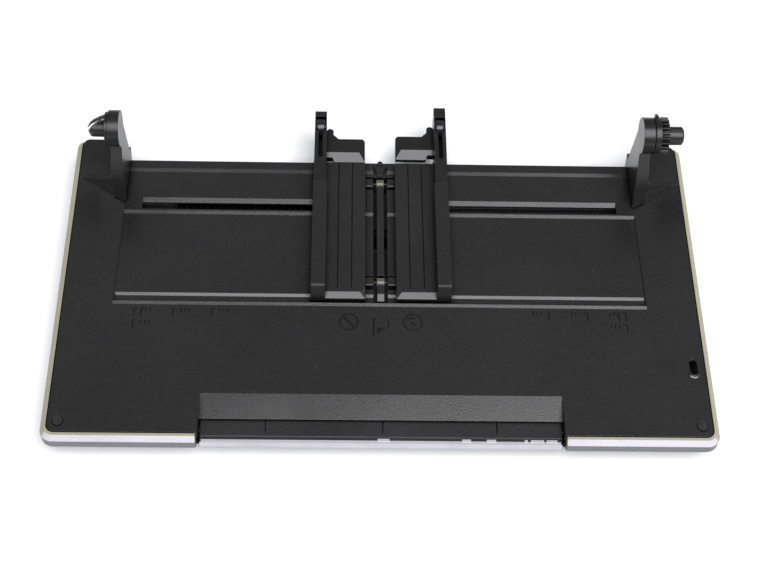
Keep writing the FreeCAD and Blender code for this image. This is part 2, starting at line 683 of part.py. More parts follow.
def pinion_screw():
    """Shouldered screw, head below the pinion."""
    head = cyl_z(3.6, 0.0, GEAR_D, 2.1, 3.1)
    shoulder = cyl_z(2.0, 0.0, GEAR_D, 3.0, RACK_TOP + 0.15)
    shank = cyl_z(1.25, 0.0, GEAR_D, RACK_TOP, 9.5)
    slot = box(-2.4, 2.4, GEAR_D - 0.3, GEAR_D + 0.3, 2.0, 2.6)
    return fuse([head, shoulder, shank]).cut(slot)


def pinion_washer():
    ring = cyl_z(3.9, 0.0, GEAR_D, 3.15, 3.45)
    return ring.cut(cyl_z(2.1, 0.0, GEAR_D, 3.0, 4.0))


# ---- side guides ----
def guide_outline(top_level, rear):
    """Side view of a guide: underside follows the stepped floor."""
    gap = 0.2
    low = [(GUIDE_FRONT, -2 * STEP + gap)]
    for ramp, level in ((RAMP_C, -2 * STEP), (RAMP_B, -STEP), (RAMP_A, 0.0)):
        low.append((ramp[0] - gap, level + gap))
        low.append((ramp[1] - gap, level + STEP + gap))
    low.append((rear, STEP + gap))
    outline = [(d, floor_z(d, lv)) for d, lv in low]
    outline.append((rear, floor_z(rear, top_level)))
    outline.append((GUIDE_FRONT, floor_z(GUIDE_FRONT, top_level)))
    return outline


def above_facet(x0, d0, z0, per_x, per_d, wide, deep):
    """Everything above a tilted facet; used to cut slanted corners."""
    spots = [(-1.0, -1.0), (wide, -1.0), (wide, deep), (-1.0, deep)]
    loop = [vec(x0 + u, d0 + v, z0 + per_x * u + per_d * v) for u, v in spots]
    face = Part.Face(Part.makePolygon(loop + [loop[0]]))
    return face.extrude(vec(0, 0, 9.0))


def guide_plate():
    """Base plate with a sloping front, a mitred corner and two shallow grooves."""
    plate = prism_x(guide_outline(PLATE_LEVEL, PLATE_REAR), PLATE_IN, WALL_IN + 0.1)
    low = floor_z(GUIDE_FRONT, PLATE_LEVEL) - NOSE_DROP
    rise = NOSE_DROP / NOSE_LONG
    plate = plate.cut(above_facet(PLATE_IN, GUIDE_FRONT, low, 0.0, rise,
                                  WALL_IN - PLATE_IN, NOSE_LONG + 1.0))
    plate = plate.cut(above_facet(PLATE_IN, GUIDE_FRONT, low, 0.31, 0.21, 4.5, 8.0))
    for x in (13.0, 19.3):
        deep = 0.6
        front = GUIDE_FRONT + NOSE_LONG + 1.5
        rear = PLATE_REAR + 1
        groove = prism_x([(front, floor_z(front, PLATE_LEVEL - deep)),
                          (rear, floor_z(rear, PLATE_LEVEL - deep)),
                          (rear, floor_z(rear, PLATE_LEVEL + 1)),
                          (front, floor_z(front, PLATE_LEVEL + 1))], x - 0.3, x + 0.3)
        plate = plate.cut(groove)
    return plate


def tail_tenon(grow):
    """Tenon of the tail piece that plugs into the guide wall."""
    return box(26.4 - grow, 29.4 + grow, TENON_FRONT - grow, TAIL_FRONT + 0.5,
               TAIL_SEAT + 1.0 - grow, TAIL_TOP - 3.0 + grow)


def guide_wall():
    outline = guide_outline(WALL_LEVEL, PLATE_REAR)
    wall = prism_x(outline, WALL_IN, WALL_OUT)
    draft = [(WALL_OUT - 0.7, floor_z(0.0, WALL_LEVEL) + 2), (WALL_OUT + 1.0, RIM_Z + 20),
             (WALL_OUT + 1.0, 8.0), (WALL_OUT, 8.0)]
    wall = wall.cut(prism_y(draft, GUIDE_FRONT - 1, PLATE_REAR + 1))
    wall = wall.cut(box(WALL_IN - 1, WALL_OUT + 1, TAIL_FRONT, PLATE_REAR + 1,
                        TAIL_SEAT, RIM_Z + 20))
    front_top = floor_z(GUIDE_FRONT, WALL_LEVEL)
    edge = prism_x([(GUIDE_FRONT - 1, front_top - 1.7), (GUIDE_FRONT + 1.7, front_top + 1.0),
                    (GUIDE_FRONT - 1, front_top + 1.0)], WALL_IN - 1, WALL_OUT + 1)
    return wall.cut(edge).cut(tail_tenon(0.02))


def guide_leg():
    leg = box(LEG_IN, LEG_OUT, LEG_MID - 1.4, LEG_MID + 1.4, RACK_TOP, floor_z(LEG_MID, 2.0))
    return leg


def right_guide():
    body = fuse([guide_plate(), guide_wall(), guide_leg()])
    for sx in RACK_SCREW_X:
        body = body.cut(cyl_z(RACK_SCREW_R + 0.02, -sx, LEG_MID, 6.0, 12.2))
    return body


def tail_tongue(shift):
    """Flat tongue reaching inward behind the base plate."""
    front = 146.75 + shift
    rear = 158.7 + shift
    slope = 4.0
    low = 11.8
    top = 16.2
    nose = 13.6
    side = prism_x([(front, low), (front, nose), (front + slope, top), (rear, top),
                    (rear, low)], PLATE_IN + 0.2, TAIL_IN + 0.5)
    side = side.cut(above_facet(PLATE_IN + 0.2, front, nose, 0.6, 0.25, 4.5, 9.0))
    face = prism_z([(PLATE_IN + 0.2, front), (TAIL_IN + 0.5, front), (TAIL_IN + 0.5, rear),
                    (8.2, rear), (PLATE_IN + 0.2, rear - 1.5)], low - 1, top + 1)
    bump = box(22.0, TAIL_IN + 0.5, rear - 1, rear + 4.5, low, top)
    round_end = cyl_z(1.6, 23.6, rear + 4.5, low, top)
    fillet = prism_z([(19.5, rear - 0.1), (22.1, rear - 0.1), (22.1, rear + 2.6)], low, top)
    notch_in = prism_z([(21.0, front - 1), (22.4, front + 1.9), (TAIL_IN + 1, front + 1.9),
                        (TAIL_IN + 1, front - 1)], low - 1, top + 1)
    tongue = fuse([side.common(face).cut(notch_in), bump, round_end, fillet])
    for x in (10.6, 20.6):
        tongue = tongue.cut(cyl_z(0.6, x, rear - 2.6, top - 0.3, top + 1))
    return tongue


def guide_tail(shift, rear, roller_d):
    """Smooth rear piece: beam, narrow slot, roller pocket, tongue."""
    beam = prism_x([(TAIL_FRONT, TAIL_SEAT), (PLATE_REAR + 0.3, TAIL_SEAT),
                    (PLATE_REAR + 0.3 + shift, 11.8), (rear - 2.0, 11.8), (rear, 14.0),
                    (rear, TAIL_TOP - 0.6), (rear - 0.6, TAIL_TOP),
                    (TAIL_SLOT_FRONT, TAIL_TOP), (TAIL_FRONT, TAIL_TOP - 0.6)],
                   TAIL_IN, TAIL_OUT)
    body = fuse([beam, tail_tenon(0.0), tail_tongue(shift)])
    mid = (TAIL_IN + TAIL_OUT) / 2.0
    body = body.cut(box(mid - 1.0, mid + 1.0, TAIL_SLOT_FRONT, roller_d, TAIL_TOP - 6.0,
                        TAIL_TOP + 1))
    pocket = box(mid - 2.3, mid + 2.3, roller_d - EDGE_ROLLER_R - 0.4,
                 roller_d + EDGE_ROLLER_R + 0.3, 16.6, TAIL_TOP + 1)
    body = body.cut(pocket)
    return body.cut(cyl_x(1.01, TAIL_IN - 1, TAIL_OUT + 1, roller_d, EDGE_ROLLER_Z))


def edge_roller(roller_d):
    mid = (TAIL_IN + TAIL_OUT) / 2.0
    wheel = cyl_x(EDGE_ROLLER_R, mid - 2.1, mid + 2.1, roller_d, EDGE_ROLLER_Z)
    rims = [e for e in wheel.Edges if e.Curve.TypeId == "Part::GeomCircle"]
    wheel = wheel.makeFillet(0.9, rims)
    return wheel.cut(cyl_x(1.05, mid - 3, mid + 3, roller_d, EDGE_ROLLER_Z))


def edge_pin(roller_d):
    return cyl_x(1.0, TAIL_IN + 0.1, TAIL_OUT - 0.1, roller_d, EDGE_ROLLER_Z)


# ---- centre rail and rollers ----
def roller_z(depth):
    return floor_z(depth, -0.8)


def centre_rail():
    """Long bar between the guides, from the front nose to the rear roller."""
    end = REAR_ROLLER_D - 2.9
    front = GUIDE_FRONT + 0.3
    outline = [(front, floor_z(front, -2.0)), (front, floor_z(front, -0.4)),
               (front + 3.1, floor_z(front, 1.0)), (end, floor_z(end, 1.1)),
               (end, floor_z(end, -0.9)), (131.2, floor_z(131.2, -1.1)),
               (110.8, floor_z(110.8, -1.9)), (109.0, floor_z(109.0, -3.4)),
               (EXT_BACK + 1.5, 9.7), (front + 4, 9.7), (front, 10.6)]
    bar = prism_x(outline, -RAIL_HALF, RAIL_HALF)
    bar = bar.cut(box(-9, 9, FRONT_ROLLER_D - 2.8, FRONT_ROLLER_D + 2.8, 10.6, 20.0))
    corner = above_facet(0.9, front, floor_z(front, 1.0), -1.4, 0.5, 2.0, 3.2)
    bar = bar.cut(corner).cut(mirror_x(corner))
    return bar.cut(cyl_z(0.62, 0.0, RAIL_SCREW_D, 7.0, 11.4))


def rail_rear_guide():
    """Funnel shaped end of the rail."""
    start = REAR_ROLLER_D + WINDOW_LONG + 0.1
    stop = FLOOR_REAR - 1.7
    top = floor_z(start, STEP)
    plan = [(-RAIL_HALF, start), (RAIL_HALF, start), (RAIL_HALF, start + 2.5),
            (CHANNEL_HALF - 0.15, stop), (-CHANNEL_HALF + 0.15, stop),
            (-RAIL_HALF, start + 2.5)]
    body = prism_z(plan, NUB_SEAT + 0.02, top)
    peg = cyl_z(0.8, 0.0, PEG_D, NUB_SEAT - 1.2, top)
    return fuse([body, peg])


def centre_roller(depth):
    z = roller_z(depth)
    wheel = cyl_x(ROLLER_R, -1.8, 1.8, depth, z)
    rims = [e for e in wheel.Edges if e.Curve.TypeId == "Part::GeomCircle"]
    wheel = wheel.makeFillet(0.4, rims)
    return wheel.cut(cyl_x(0.85, -3, 3, depth, z))


def roller_pins():
    pins = [cyl_x(0.8, -6.6, 6.6, d, roller_z(d)) for d in (FRONT_ROLLER_D, REAR_ROLLER_D)]
    return Part.makeCompound(pins)


def roller_clips():
    """Four small blocks that hold the roller pins in the windows."""
    clips = []
    for depth in (FRONT_ROLLER_D, REAR_ROLLER_D):
        z = roller_z(depth)
        block = box(3.3, WINDOW_HALF - 0.01, depth - 2.3, depth + 2.3, z - 1.6, z + 1.5)
        edges = [e for e in block.Edges if abs(e.BoundBox.ZMin - z - 1.5) < 1e-6
                 and e.BoundBox.XLength > 1.0]
        block = block.makeFillet(0.6, edges)
        block = block.cut(cyl_x(0.81, 2.0, 6.7, depth, z))
        clips.append(block)
        clips.append(mirror_x(block))
    return Part.makeCompound(clips)


def rail_screw():
    return pan_screw(0.0, RAIL_SCREW_D, 8.35, 1.5, 0.9, 0.6, 11.3)


# ---- extension ----


def extension_slide():
    """Pull out slab: thick grip at the front, thin plate behind."""
    seat = EXT_FRONT + TRIM_DEEP
    side = [(seat + 4.0, EXT_LOW), (seat, EXT_TOP - 3.3), (seat, EXT_TOP), (seat + 2.2, EXT_TOP), (seat + 2.6, EXT_TOP - 0.4),
            (seat + 3.0, EXT_TOP), (15.0, EXT_TOP), (18.5, EXT_PLATE),
            (EXT_BACK, EXT_PLATE), (EXT_BACK, EXT_LOW)]
    body = prism_x(side, -EXT_HALF, EXT_HALF)
    for x in (-48.6, 0.6, 48.6):
        body = body.cut(box(x - 0.3, x + 0.3, 3.4, 16.0, EXT_TOP - 0.6, EXT_TOP + 1))
    body = body.cut(box(-60.0, -20.0, 26.0, 88.0, EXT_LOW - 1, EXT_PLATE + 1))
    body = body.cut(box(20.0, 60.0, 26.0, 88.0, EXT_LOW - 1, EXT_PLATE + 1))
    for depth in (BEAD_D, BEAD_D + EXT_TRAVEL / 2.0, BEAD_D + EXT_TRAVEL):
        body = body.cut(cyl_x(0.9, -3.2, 3.2, depth, EXT_LOW - 0.3))
    return body


def extension_trim():
    """Light strip with a chamfered top edge along the front of the extension."""
    bevel = 1.25
    rear = EXT_FRONT + TRIM_DEEP
    low = EXT_TOP - bevel - 0.9
    side = [(rear, low), (rear, EXT_TOP), (EXT_FRONT + bevel, EXT_TOP),
            (EXT_FRONT, EXT_TOP - bevel), (EXT_FRONT, low + 0.3), (EXT_FRONT + 0.3, low)]
    strip = prism_x(side, -EXT_HALF, EXT_HALF)
    corner = prism_y([(EXT_HALF - 1.8, low - 0.1), (EXT_HALF + 0.1, low - 0.1),
                      (EXT_HALF + 0.1, EXT_TOP - 0.9)], EXT_FRONT - 1, rear + 1)
    return strip.cut(corner).cut(mirror_x(corner))


def bent_strip(points, thick, x0, x1):
    """Thin strip that follows a (depth, height) line."""
    outline = list(points) + [(d, z - thick) for d, z in points[::-1]]
    return prism_x(outline, x0, x1)


def extension_spring():
    """Leaf that presses a bead into the notches under the extension."""
    leaf = bent_strip([(6.5, 5.4), (10.2, 6.3), (BEAD_D, 7.05), (13.8, 6.3), (17.6, 4.45),
                       (24.0, 4.45)], 0.4, -2.6, 2.6)
    return leaf.cut(cyl_z(0.82, 0.0, SPRING_SCREW_D, 3.0, 6.0))


def rack_spring():
    """Bowed leaf under the front rack that gives the guides a light drag."""
    mid = GEAR_D - PINION_R - 1.25 * MODULE - RACK_BODY / 2.0
    bow = [(30.0, 2.4), (36.0, 3.5), (42.0, 2.4), (42.0, 2.02), (36.0, 3.15), (30.0, 2.02)]
    return prism_y(bow, mid - 0.2, mid + 2.2)


def spring_screw():
    return pan_screw_down(0.0, SPRING_SCREW_D, 4.47, 1.6, 0.8, 0.8, 2.4)


def pan_screw_down(x, y, z_seat, head_r, head_high, shank_r, z_end):
    head = cyl_z(head_r, x, y, z_seat, z_seat + head_high)
    shank = cyl_z(shank_r, x, y, z_end, z_seat + 0.1)
    slot = box(x - head_r * 0.7, x + head_r * 0.7, y - 0.2, y + 0.2,
               z_seat + head_high * 0.5, z_seat + head_high + 1)
    return fuse([head, shank]).cut(slot)


# ---- hinge arms ----
def arm_profile():
    x = ARM_IN
    top = 44.0
    rear_top = vec(x, 145.4, top)
    rear_low = vec(x, ARM_REAR, 14.0)
    front = ARM_FOOT - 6.0
    edges = [Part.makeLine(vec(x, front, ARM_LOW), vec(x, front, top)),
             Part.makeLine(vec(x, front, top), rear_top),
             Part.Arc(rear_top, vec(x, 147.4, 30.5), rear_low).toShape(),
             Part.makeLine(rear_low, vec(x, ARM_REAR, ARM_LOW)),
             Part.makeLine(vec(x, ARM_REAR, ARM_LOW), vec(x, front, ARM_LOW))]
    return Part.Face(Part.Wire(edges))


def arm_web():
    """Thin web between the arm and the corner box, in the steep front face."""
    foot = RIM_Z + 0.02
    spots = [(ARM_OUT - 0.3, foot), (135.3, foot), (134.0, 18.4), (124.7, 21.2), (123.8, 21.8),
             (123.4, 23.0), (122.9, 30.0), (122.3, 37.5), (ARM_OUT - 0.3, 38.5)]
    loop = [vec(x, face_depth(x, z), z) for x, z in spots]
    return Part.Face(Part.makePolygon(loop + [loop[0]])).extrude(vec(0, 2.2, 0))


def hinge_arm():
    blade = arm_profile().extrude(vec(ARM_OUT - ARM_IN, 0, 0)).cut(ahead_of_face(0.0))
    root = box(ARM_IN, ARM_OUT, ARM_FOOT - 9.0, ARM_REAR + 1, 0.0, RIM_Z)
    blade = blade.cut(root.cut(arm_pocket(0.0)))
    head = cyl_x(HEAD_R, ARM_IN, ARM_OUT, PIVOT_D, PIVOT_Z)
    body = fuse([blade, head, arm_web()])
    for x, y in ARM_SCREWS:
        body = body.cut(cyl_z(SCREW_HOLE_R, x, y, 4.0, 11.5))
    return body.cut(cyl_x(PIVOT_BORE_R, ARM_IN + 0.9, ARM_OUT + 1, PIVOT_D, PIVOT_Z))


def turned(points):
    """Solid of revolution on the pivot axis from an (x, radius) outline."""
    loop = [vec(x, 0, r) for x, r in points]
    body = Part.Face(Part.makePolygon(loop + [loop[0]])).revolve(vec(0, 0, 0), vec(1, 0, 0), 360.0)
    body.translate(vec(0, PIVOT_D, PIVOT_Z))
    return body


def tilted_prism(points, half):
    """Solid across the pin from an (along the pin, across the slot) outline."""
    loop = [vec(COLLAR_OUT + u, -half, v) for u, v in points]
    body = Part.Face(Part.makePolygon(loop + [loop[0]])).extrude(vec(0, 2 * half, 0))
    body.rotate(vec(0, 0, 0), vec(1, 0, 0), -PIN_TILT)
    body.translate(vec(0, PIVOT_D, PIVOT_Z))
    return body


def snap_pin():
    """Snap pin on the left arm, built on the right and mirrored: shank and sprung finger."""
    end = COLLAR_OUT
    shank = turned([(ARM_IN + 1.0, 0), (ARM_IN + 1.0, 3.0), (ARM_OUT + 0.02, 3.0),
                    (ARM_OUT + 0.02, COLLAR_R), (end, COLLAR_R), (end, PIN_R),
                    (end + 5.6, PIN_R - 0.1), (end + 6.6, 3.6), (end + 7.5, 2.4),
                    (end + 7.9, 1.2), (end + 7.9, 0)])
    above = tilted_prism([(0.0, 3.9), (3.7, 2.8), (5.9, 1.0), (9.0, -1.7), (9.0, 9.0),
                          (0.0, 9.0)], 9.0)
    outer = turned([(end - 0.3, 0), (end - 0.3, 6.4), (end, 6.4), (end + 2.4, 5.6),
                    (end + 5.4, 4.1), (end + 6.9, 2.9), (end + 8.1, 1.0), (end + 8.1, 0)])
    inner_line = tilted_prism([(-0.4, 5.4), (0.0, 5.2), (3.0, 4.3), (5.9, 2.6), (7.4, 1.0),
                               (9.0, -0.6), (9.0, 9.0), (-0.4, 9.0)], 2.9)
    return fuse([shank.cut(above), outer.common(inner_line)])


def pivot_gear():
    """Collar with a pointer tab, teeth and a grooved stub shaft."""
    outline = gear_outline(GEAR_TEETH, GEAR_MODULE, 0.1)
    loop = [vec(GEAR_IN - 0.1, PIVOT_D + y, PIVOT_Z + z) for y, z in outline]
    wide = GEAR_OUT - GEAR_IN + 0.1
    teeth = Part.Face(Part.makePolygon(loop + [loop[0]])).extrude(vec(wide, 0, 0))
    spindle = turned([(ARM_IN + 1.0, 0), (ARM_IN + 1.0, 3.0), (ARM_OUT + 0.05, 3.0),
                      (ARM_OUT + 0.05, 7.3), (ARM_OUT + 0.6, 7.3), (ARM_OUT + 0.6, 8.1),
                      (GEAR_IN, 8.1), (GEAR_IN, 3.0), (GEAR_OUT - 0.2, 3.0),
                      (GEAR_OUT - 0.2, 0)])
    stub = turned([(GEAR_OUT - 0.1, 0), (GEAR_OUT - 0.1, STUB_R), (STUB_OUT - 0.8, STUB_R),
                   (STUB_OUT, STUB_R - 0.8), (STUB_OUT, 0)])
    tab = tilted_prism([(-1.1, 7.0), (0.6, 7.0), (0.6, 9.3), (0.1, 9.9), (-0.6, 9.9),
                        (-1.1, 9.3)], 1.2)
    body = fuse([teeth, spindle, stub, tab])
    for turn in (-7.0, 113.0, 233.0):
        a = math.radians(turn)
        y = PIVOT_D + STUB_R * math.sin(a)
        z = PIVOT_Z + STUB_R * math.cos(a)
        body = body.cut(cyl_x(0.42, GEAR_OUT, STUB_OUT + 1, y, z))
    return body





# ---- small parts ----
def bumper_pads():
    pads = []
    for x in (-PAD_X, PAD_X):
        pads.append(cyl_z(PAD_R, x, PAD_D, RIM_Z - 0.38, RIM_Z + 0.35))
    return Part.makeCompound(pads)


def build_all():
    os.makedirs("parts", exist_ok=True)
    save("tray_insert", tray_insert())
    rim = right_rim()
    save("right_rim", rim)
    save("left_rim", mirror_x(rim))
    save("bottom_cover", bottom_cover())
    save("cover_screws", cover_screws())
    save("arm_screws", arm_screws())
    save("left_rack", left_rack())
    save("right_rack", right_rack())
    save("left_rack_screws", rack_screws(1.0))
    save("right_rack_screws", rack_screws(-1.0))
    save("pinion", pinion())
    save("pinion_screw", pinion_screw())
    save("pinion_washer", pinion_washer())
    guide = right_guide()
    save("right_guide", guide)
    save("left_guide", mirror_x(guide))
    save("right_guide_tail", guide_tail(RIGHT_SHIFT, RIGHT_TAIL_REAR, RIGHT_ROLLER_D))
    save("left_guide_tail", mirror_x(guide_tail(0.0, LEFT_TAIL_REAR, LEFT_ROLLER_D)))
    save("right_edge_roller", edge_roller(RIGHT_ROLLER_D))
    save("left_edge_roller", mirror_x(edge_roller(LEFT_ROLLER_D)))
    save("right_edge_pin", edge_pin(RIGHT_ROLLER_D))
    save("left_edge_pin", mirror_x(edge_pin(LEFT_ROLLER_D)))
    save("centre_rail", centre_rail())
    save("rail_rear_guide", rail_rear_guide())
    save("front_centre_roller", centre_roller(FRONT_ROLLER_D))
    save("rear_centre_roller", centre_roller(REAR_ROLLER_D))
    save("roller_pins", roller_pins())
    save("roller_clips", roller_clips())
    save("rail_screw", rail_screw())
    save("extension_slide", extension_slide())
    save("extension_trim", extension_trim())
    save("extension_spring", extension_spring())
    save("spring_screw", spring_screw())
    save("rack_spring", rack_spring())
    arm = hinge_arm()
    save("right_hinge_arm", arm)
    save("left_hinge_arm", mirror_x(arm))
    save("left_snap_pin", mirror_x(snap_pin()))
    save("pivot_gear", pivot_gear())
    save("bumper_pads", bumper_pads())


build_all()
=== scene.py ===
import json
import math
import bmesh
import bpy
from mathutils import Matrix, Vector
from mathutils.bvhtree import BVHTree

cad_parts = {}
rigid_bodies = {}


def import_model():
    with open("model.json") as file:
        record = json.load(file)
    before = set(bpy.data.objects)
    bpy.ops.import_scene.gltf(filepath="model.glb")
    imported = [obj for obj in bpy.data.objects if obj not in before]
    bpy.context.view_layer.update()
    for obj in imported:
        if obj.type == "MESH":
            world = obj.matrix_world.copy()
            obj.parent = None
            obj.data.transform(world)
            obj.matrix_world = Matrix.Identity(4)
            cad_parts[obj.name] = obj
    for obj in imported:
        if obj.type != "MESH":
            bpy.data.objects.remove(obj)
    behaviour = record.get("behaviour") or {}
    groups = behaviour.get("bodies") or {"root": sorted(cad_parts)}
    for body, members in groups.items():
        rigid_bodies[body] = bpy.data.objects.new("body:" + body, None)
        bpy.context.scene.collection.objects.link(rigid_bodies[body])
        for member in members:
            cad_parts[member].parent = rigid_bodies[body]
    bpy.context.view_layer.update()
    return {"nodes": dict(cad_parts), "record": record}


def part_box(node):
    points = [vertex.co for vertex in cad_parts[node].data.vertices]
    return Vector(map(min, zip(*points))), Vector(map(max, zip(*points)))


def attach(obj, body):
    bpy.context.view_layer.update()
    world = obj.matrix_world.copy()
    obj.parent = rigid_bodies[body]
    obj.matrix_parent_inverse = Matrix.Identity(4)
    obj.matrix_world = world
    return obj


for leftover in list(bpy.data.objects):
    bpy.data.objects.remove(leftover)
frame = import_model()
NODES = frame["nodes"]

MM = 0.001
DEPTH_ZERO = 76.5                  # the tray's front edge lies this far in front of the centre
SENSOR_MM = 36.0                   # width of the camera's sensor
LENS_MM = 72.4
CAMERA_AT = (-0.0166, -0.3794, 0.5776)
CAMERA_PITCH = math.radians(56.0)  # looking down
CAMERA_YAW = -0.0429               # radians, as is the roll
CAMERA_ROLL = 0.0469


# ---- node helpers ----
COLOUR_A, COLOUR_B = 6, 7          # a Mix node's colour inputs
COLOUR_OUT = 2


class Graph:
    """Short calls for building a material's nodes."""

    def __init__(self, name):
        self.material = bpy.data.materials.new(name)
        self.material.use_nodes = True
        self.tree = self.material.node_tree
        self.tree.nodes.clear()
        self.output = self.add("ShaderNodeOutputMaterial")

    def add(self, kind, **settings):
        node = self.tree.nodes.new(kind)
        for key, value in settings.items():
            setattr(node, key, value)
        return node

    def put(self, socket, value):
        if isinstance(value, bpy.types.NodeSocket):
            self.tree.links.new(value, socket)
        elif isinstance(value, tuple) and len(value) == 3 and socket.type == "RGBA":
            socket.default_value = value + (1.0,)
        else:
            socket.default_value = value

    def math(self, operation, a, b=0.0, clamp=False):
        node = self.add("ShaderNodeMath", operation=operation, use_clamp=clamp)
        self.put(node.inputs[0], a)
        self.put(node.inputs[1], b)
        return node.outputs[0]

    def mix(self, factor, a, b):
        node = self.add("ShaderNodeMix", data_type="RGBA")
        self.put(node.inputs[0], factor)
        self.put(node.inputs[COLOUR_A], a)
        self.put(node.inputs[COLOUR_B], b)
        return node.outputs[COLOUR_OUT]

    def toned(self, colour, tone):
        """The colour multiplied by a grey tone."""
        grey = self.add("ShaderNodeCombineColor")
        for socket in grey.inputs:
            self.put(socket, tone)
        node = self.add("ShaderNodeMix", data_type="RGBA", blend_type="MULTIPLY")
        node.inputs[0].default_value = 1.0
        self.put(node.inputs[COLOUR_A], colour)
        self.put(node.inputs[COLOUR_B], grey.outputs[0])
        return node.outputs[COLOUR_OUT]

    def ramp(self, value, low, high, out_low=0.0, out_high=1.0):
        node = self.add("ShaderNodeMapRange", clamp=True)
        for index, number in enumerate((value, low, high, out_low, out_high)):
            self.put(node.inputs[index], number)
        return node.outputs[0]

    def place(self, stretch=(1.0, 1.0, 1.0)):
        coords = self.add("ShaderNodeTexCoord").outputs["Object"]
        mapping = self.add("ShaderNodeMapping")
        self.put(mapping.inputs["Vector"], coords)
        mapping.inputs["Scale"].default_value = stretch
        return mapping.outputs[0]

    def noise(self, vector, scale, detail=2.0, rough=0.5):
        node = self.add("ShaderNodeTexNoise")
        self.put(node.inputs["Vector"], vector)
        node.inputs["Scale"].default_value = scale
        node.inputs["Detail"].default_value = detail
        node.inputs["Roughness"].default_value = rough
        return node.outputs["Fac"]

    def cells(self, vector, scale):
        node = self.add("ShaderNodeTexVoronoi")
        self.put(node.inputs["Vector"], vector)
        node.inputs["Scale"].default_value = scale
        return node.outputs["Distance"]

    def bump(self, height, strength, distance, normal=None):
        node = self.add("ShaderNodeBump")
        node.inputs["Strength"].default_value = strength
        node.inputs["Distance"].default_value = distance
        self.put(node.inputs["Height"], height)
        if normal is not None:
            self.put(node.inputs["Normal"], normal)
        return node.outputs[0]

    def painted_shade_mask(self, reach):
        """1 on open faces, falling towards 0 deep in gaps narrower than the reach: the mask for
        painted shade in gaps.
        """
        node = self.add("ShaderNodeAmbientOcclusion", samples=8)
        node.inputs["Distance"].default_value = reach
        return self.ramp(node.outputs["AO"], 0.30, 0.85)

    def rounded(self, radius):
        """Normal with edges rounded to radius, and a mask that is 1 on those edges."""
        bevel = self.add("ShaderNodeBevel", samples=6)
        bevel.inputs["Radius"].default_value = radius
        geometry = self.add("ShaderNodeNewGeometry")
        dot = self.add("ShaderNodeVectorMath", operation="DOT_PRODUCT")
        self.put(dot.inputs[0], bevel.outputs[0])
        self.put(dot.inputs[1], geometry.outputs["Normal"])
        return bevel.outputs[0], self.ramp(dot.outputs["Value"], 0.995, 0.85)

    def facing(self, normal, axis):
        """How far a face looks along an axis, from -1 to 1."""
        axes = self.add("ShaderNodeSeparateXYZ")
        self.put(axes.inputs[0], self.add("ShaderNodeNewGeometry").outputs[normal])
        return axes.outputs[axis]

    def front_mix(self, colour, front):
        """The front colour on faces that look forward, the other colour elsewhere."""
        forward = self.ramp(self.facing("True Normal", "Y"), -0.45, -0.30, 1.0, 0.0)
        return self.mix(forward, colour, front)

    def finish(self, **inputs):
        shader = self.add("ShaderNodeBsdfPrincipled")
        for key, value in inputs.items():
            self.put(shader.inputs[key.replace("_", " ")], value)
        self.put(self.output.inputs["Surface"], shader.outputs[0])
        return self.material


# ---- materials ----
CLOUD_SCALE = 24.0                 # faint mottling, in repeats per metre
WEAR_SCALE = 160.0
DUST_SCALE = 420.0
CLOUD_MOST = 0.07                  # share by which the mottling shifts the tone
GLOSS_SHIFT = 0.05                 # how far it shifts the roughness
EDGE_POLISH = 0.08                 # worn edges are smoother by this
DUST_COLOUR = (0.30, 0.29, 0.27)
DUST_MOST = 0.03
PAINTED_GAP_SHADE = 0.15                   # painted shade: share of the colour left deep in gaps
PAINTED_GAP_SHINE = 0.04                   # share of the sheen left there, dimming reflections as part of the painted shade
GRAIN_HIGH = 0.05 * MM
RINGS_PER_METRE = 2600.0           # turning rings along an axle
BLACK_WORN = (0.10, 0.10, 0.11)


def dimmed(colour, share):
    return tuple(min(1.0, part * share) for part in colour)


def worn_edges(g, place, radius):
    """Normal with rounded edges, and an uneven mask along them."""
    normal, edges = g.rounded(radius)
    uneven = g.ramp(g.noise(place, WEAR_SCALE, 3.0), 0.35, 0.7, 0.35, 1.0)
    return normal, g.math("MULTIPLY", edges, uneven)


def dusted(g, place, up, colour):
    """The colour with specks of light dust on faces that look up."""
    specks = g.ramp(g.noise(place, DUST_SCALE, 4.0, 0.7), 0.56, 0.74, 0.0, DUST_MOST)
    return g.mix(g.math("MULTIPLY", g.ramp(up, 0.5, 1.0), specks), colour, DUST_COLOUR)


